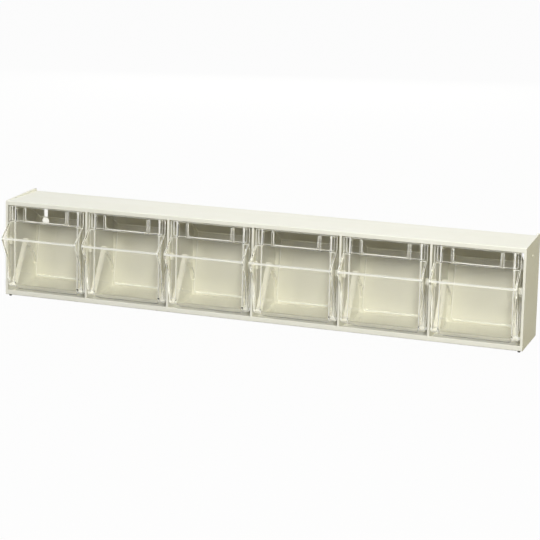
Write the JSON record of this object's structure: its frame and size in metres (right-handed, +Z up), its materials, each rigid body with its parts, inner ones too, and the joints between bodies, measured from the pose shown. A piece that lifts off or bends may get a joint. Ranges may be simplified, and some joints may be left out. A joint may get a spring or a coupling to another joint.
{
  "type": "parts bin cabinet",
  "caption": "Low, wide cabinet whose clear bins each tilt forward on side pegs to open for small parts; stands on feet or hangs by keyholes in its back.",
  "frame": {"origin": "middle of the bounding box, at the level of the surface that the feet stand on", "axes": "+X to the right along the row of bins, +Y to the back, +Z up; the bins face -Y"},
  "size_m": [0.6012, 0.092, 0.1143],
  "materials": {
    "ivory_plastic": "moulded satin",
    "clear_plastic": "clear polished polystyrene",
    "foot_rubber": "matt"
  },
  "bodies": {
    "cabinet": {"housing": "ivory_plastic", "foot_front_left": "foot_rubber", "foot_front_right": "foot_rubber", "foot_back_left": "foot_rubber", "foot_back_right": "foot_rubber"},
    "bin_1": {"bin_1": "clear_plastic"},
    "bin_2": {"bin_2": "clear_plastic"},
    "bin_3": {"bin_3": "clear_plastic"},
    "bin_4": {"bin_4": "clear_plastic"},
    "bin_5": {"bin_5": "clear_plastic"},
    "bin_6": {"bin_6": "clear_plastic"}
  },
  "joints": [
    {"name": "bin_1_tilt", "type": "hinge", "parent": "cabinet", "child": "bin_1", "pos_m": [-0.24888, -0.0209, 0.0142], "axis": [1, 0, 0], "range_deg": [0, 29]},
    {"name": "bin_2_tilt", "type": "hinge", "parent": "cabinet", "child": "bin_2", "pos_m": [-0.14933, -0.0209, 0.0142], "axis": [1, 0, 0], "range_deg": [0, 29]},
    {"name": "bin_3_tilt", "type": "hinge", "parent": "cabinet", "child": "bin_3", "pos_m": [-0.04977, -0.0209, 0.0142], "axis": [1, 0, 0], "range_deg": [0, 29]},
    {"name": "bin_4_tilt", "type": "hinge", "parent": "cabinet", "child": "bin_4", "pos_m": [0.04977, -0.0209, 0.0142], "axis": [1, 0, 0], "range_deg": [0, 29]},
    {"name": "bin_5_tilt", "type": "hinge", "parent": "cabinet", "child": "bin_5", "pos_m": [0.14933, -0.0209, 0.0142], "axis": [1, 0, 0], "range_deg": [0, 29]},
    {"name": "bin_6_tilt", "type": "hinge", "parent": "cabinet", "child": "bin_6", "pos_m": [0.24888, -0.0209, 0.0142], "axis": [1, 0, 0], "range_deg": [0, 29]}
  ]
}
